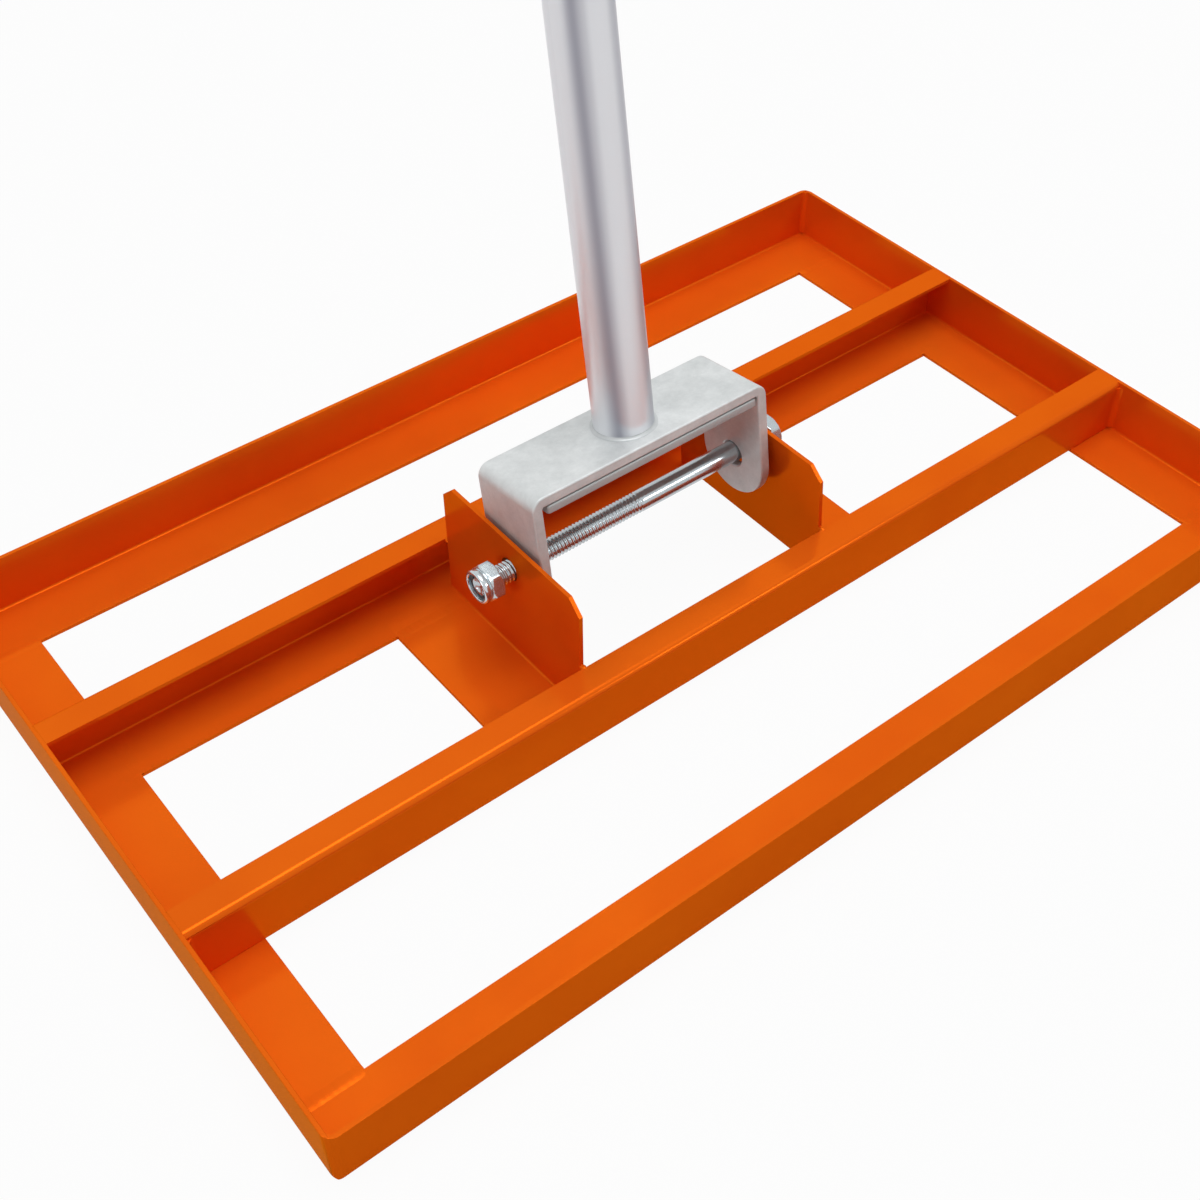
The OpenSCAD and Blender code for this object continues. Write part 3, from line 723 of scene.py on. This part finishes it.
def makeCap():
    # a round-edged head with a slight dome, and a stem inside the tube
    h = handle
    top = h["yokeTop"] + h["sections"] * h["sectionLength"]
    head, tall, stem = h["gripD"] / 2, h["capHeight"], h["poleD"] / 2 - h["wall"] - h["fitGap"]
    edge = tall / 2
    stations = [(-h["capStem"], 0.4), (-h["capStem"], stem - 0.8), (-h["capStem"] + 0.8, stem),
                (0.02, stem), (0.02, head - 0.3), (0.3, head)]
    for a in quarterTurn(10):
        stations.append((tall - edge + edge * math.sin(a) * 0.97, head - edge + edge * math.cos(a)))
    stations += [(tall, head - edge - 3), (tall, 0.4)]
    bm = turned(stations, 72, onPole(top), handleTurn)
    addPiece("end_cap_moulded", bm, "handle", "cap_plastic", ["end_cap"])


makeYoke()
makeStiffener()
makeFootWeld()
makeTubes()
makeThreadedJoints()
makeGrip()
makeCap()
print("yoke and pole ready")


# ---- weld runs under the paint ----

weld = {
    "seamWidth": 5.0, "cornerHeight": 0.13, "barHeight": 0.13, "earHeight": 0.12, "bead": 2.0,
    "ripple": 0.02, "ripplePitch": 2.4, "fade": 2.5, "step": 0.5, "buried": 0.35, "overlap": 0.2,
    # the faces and edges they lie on, in mm, from the middle of the head
    "sheet": 1.5, "headTop": 24.0, "wallX": 208.5, "wallY": 130.5, "flangeX": 185.5, "flangeY": 107.5,
    "cornerEnd": 207.0, "webY": 52.0, "barFlangeY": 29.5, "barEndY": 49.0, "lipY": 39.75,
    "uprightFrom": 2.3, "cornerStop": 0.35, "barStop": 2.2,
    # the ears' inner faces at the foot, then measures outwards from them
    "leftEar": -52.5, "rightEar": 57.314, "earFlange": 31.5, "earBend": 2.8, "earMiddle": 0.75,
    # the right ear leans, so at the height of the lips it stands nearer to the yoke
    "rightEarLean": -1.88,
    "tack": (1.05, 1.9, 1.0), "tackDrop": 0.55, "tackLump": 0.12,
}


def join(parts):
    whole = bmesh.new()
    for part in parts:
        mesh = bpy.data.meshes.new("part")
        part.to_mesh(mesh)
        part.free()
        whole.from_mesh(mesh)
        bpy.data.meshes.remove(mesh)
    return whole


def ripple(along, seed):
    wobble = noise.noise(Vector((along * 0.35, seed * 7.3, 0.2)))
    return weld["ripple"] * (math.sin(2 * math.pi * along / weld["ripplePitch"] + 2 * wobble) + 1.5 * wobble)


def flatRun(start, end, seed, height):
    # low crowned run over a seam between two flanges, fading out at both ends
    a, b = Vector(start), Vector(end)
    length = (b - a).length
    forward = (b - a) / length
    side = Vector((-forward.y, forward.x, 0))
    buried = Vector((0, 0, -weld["buried"]))
    sections = []
    for s in steps(0.0, length, int(length / weld["step"])):
        fade = max(0.0, min(1.0, s / weld["fade"], (length - s) / weld["fade"]))
        fade = math.sqrt(1 - (1 - fade) ** 2)
        wander = 1 + 0.06 * noise.noise(Vector((s * 0.2, seed, 1.0)))
        half = weld["seamWidth"] / 2 * (0.35 + 0.65 * fade) * wander
        high = (height + ripple(s, seed)) * fade
        spot = a + forward * s
        section = []
        for u in steps(-1.0, 1.0, 10):
            section.append(spot + side * half * u + Vector((0, 0, high * (1 - u * u) ** 1.3 - 0.02)))
        section += [spot + side * half + buried, spot - side * half + buried]
        sections.append(section)
    return closedRun(sections)


def cornerRun(x, y, towardX, towardY, low, high, seed):
    # upright fillet in the corner of two walls
    over = weld["overlap"]
    sections = []
    for z in steps(low, high, int((high - low) / weld["step"])):
        wander = 1 + 0.07 * noise.noise(Vector((z * 0.3, seed * 3.1, 0.5)))
        size = weld["bead"] * wander + ripple(z, seed) * 0.5
        section = [Vector((x - towardX * over, y - towardY * over, z)),
                   Vector((x + towardX * size, y - towardY * over, z))]
        for k, a in enumerate(quarterTurn(8)):
            # between a hollow and a flat face
            hollow = Vector((1 - math.sin(a), 1 - math.cos(a)))
            flat = Vector((1 - k / 8, k / 8))
            cut = hollow * 0.75 + flat * 0.25
            section.append(Vector((x + towardX * size * cut.x, y + towardY * size * cut.y, z)))
        section.append(Vector((x - towardX * over, y + towardY * size, z)))
        sections.append(section)
    return closedRun(sections)


def tack(x, y, z, seed):
    # small round tack that ties the ear's upright edge to the lip beside it
    bm = bmesh.new()
    bmesh.ops.create_icosphere(bm, subdivisions=4, radius=1.0)
    wide, deep, tall = weld["tack"]
    for vert in bm.verts:
        lump = 1 + weld["tackLump"] * noise.noise(vert.co * 1.7 + Vector((seed, 0, 0)))
        local = Vector((vert.co.x * wide, vert.co.y * deep, vert.co.z * tall)) * lump
        vert.co = (local + Vector((x, y, z))) * mm
    return bm


def addWelds(node, parts):
    addPiece(node + "_painted", join(parts), "head", "head_paint", [node], sharpAngle=50)


def makeWelds():
    w = weld
    corners = [(sx, sy) for sx in (-1, 1) for sy in (-1, 1)]
    seed = 1
    parts = []
    for sx, sy in corners:
        seed += 1
        y = headY + sy * w["flangeY"]
        start, end = (sx * w["flangeX"], y, w["sheet"]), (sx * w["cornerEnd"], y, w["sheet"])
        parts.append(flatRun(start, end, seed, w["cornerHeight"]))
        x, y = sx * w["wallX"], headY + sy * w["wallY"]
        parts.append(cornerRun(x, y, -sx, -sy, w["uprightFrom"], w["headTop"] - w["cornerStop"], seed))
    addWelds("corner_welds", parts)
    parts = []
    for sx, sy in corners:
        seed += 1
        x = sx * w["flangeX"]
        start, end = (x, headY + sy * w["barFlangeY"], w["sheet"]), (x, headY + sy * w["barEndY"], w["sheet"])
        parts.append(flatRun(start, end, seed, w["barHeight"]))
        x, y = sx * w["wallX"], headY + sy * w["webY"]
        parts.append(cornerRun(x, y, -sx, sy, w["uprightFrom"], w["headTop"] - w["barStop"], seed))
    addWelds("crossbar_welds", parts)
    parts = []
    for side, ear, lean in ((-1, w["leftEar"], 0.0), (1, w["rightEar"], w["rightEarLean"])):
        for sy in (-1, 1):
            seed += 1
            y = headY + sy * w["barFlangeY"]
            foot, bend = ear + side * w["earFlange"], ear + side * w["earBend"]
            parts.append(flatRun((foot, y, w["sheet"]), (bend, y, w["sheet"]), seed, w["earHeight"]))
            x, y = ear + side * w["earMiddle"] + lean, headY + sy * w["lipY"]
            parts.append(tack(x, y, w["headTop"] - w["tackDrop"], seed))
    addWelds("ear_welds", parts)


makeWelds()
print("welds ready")
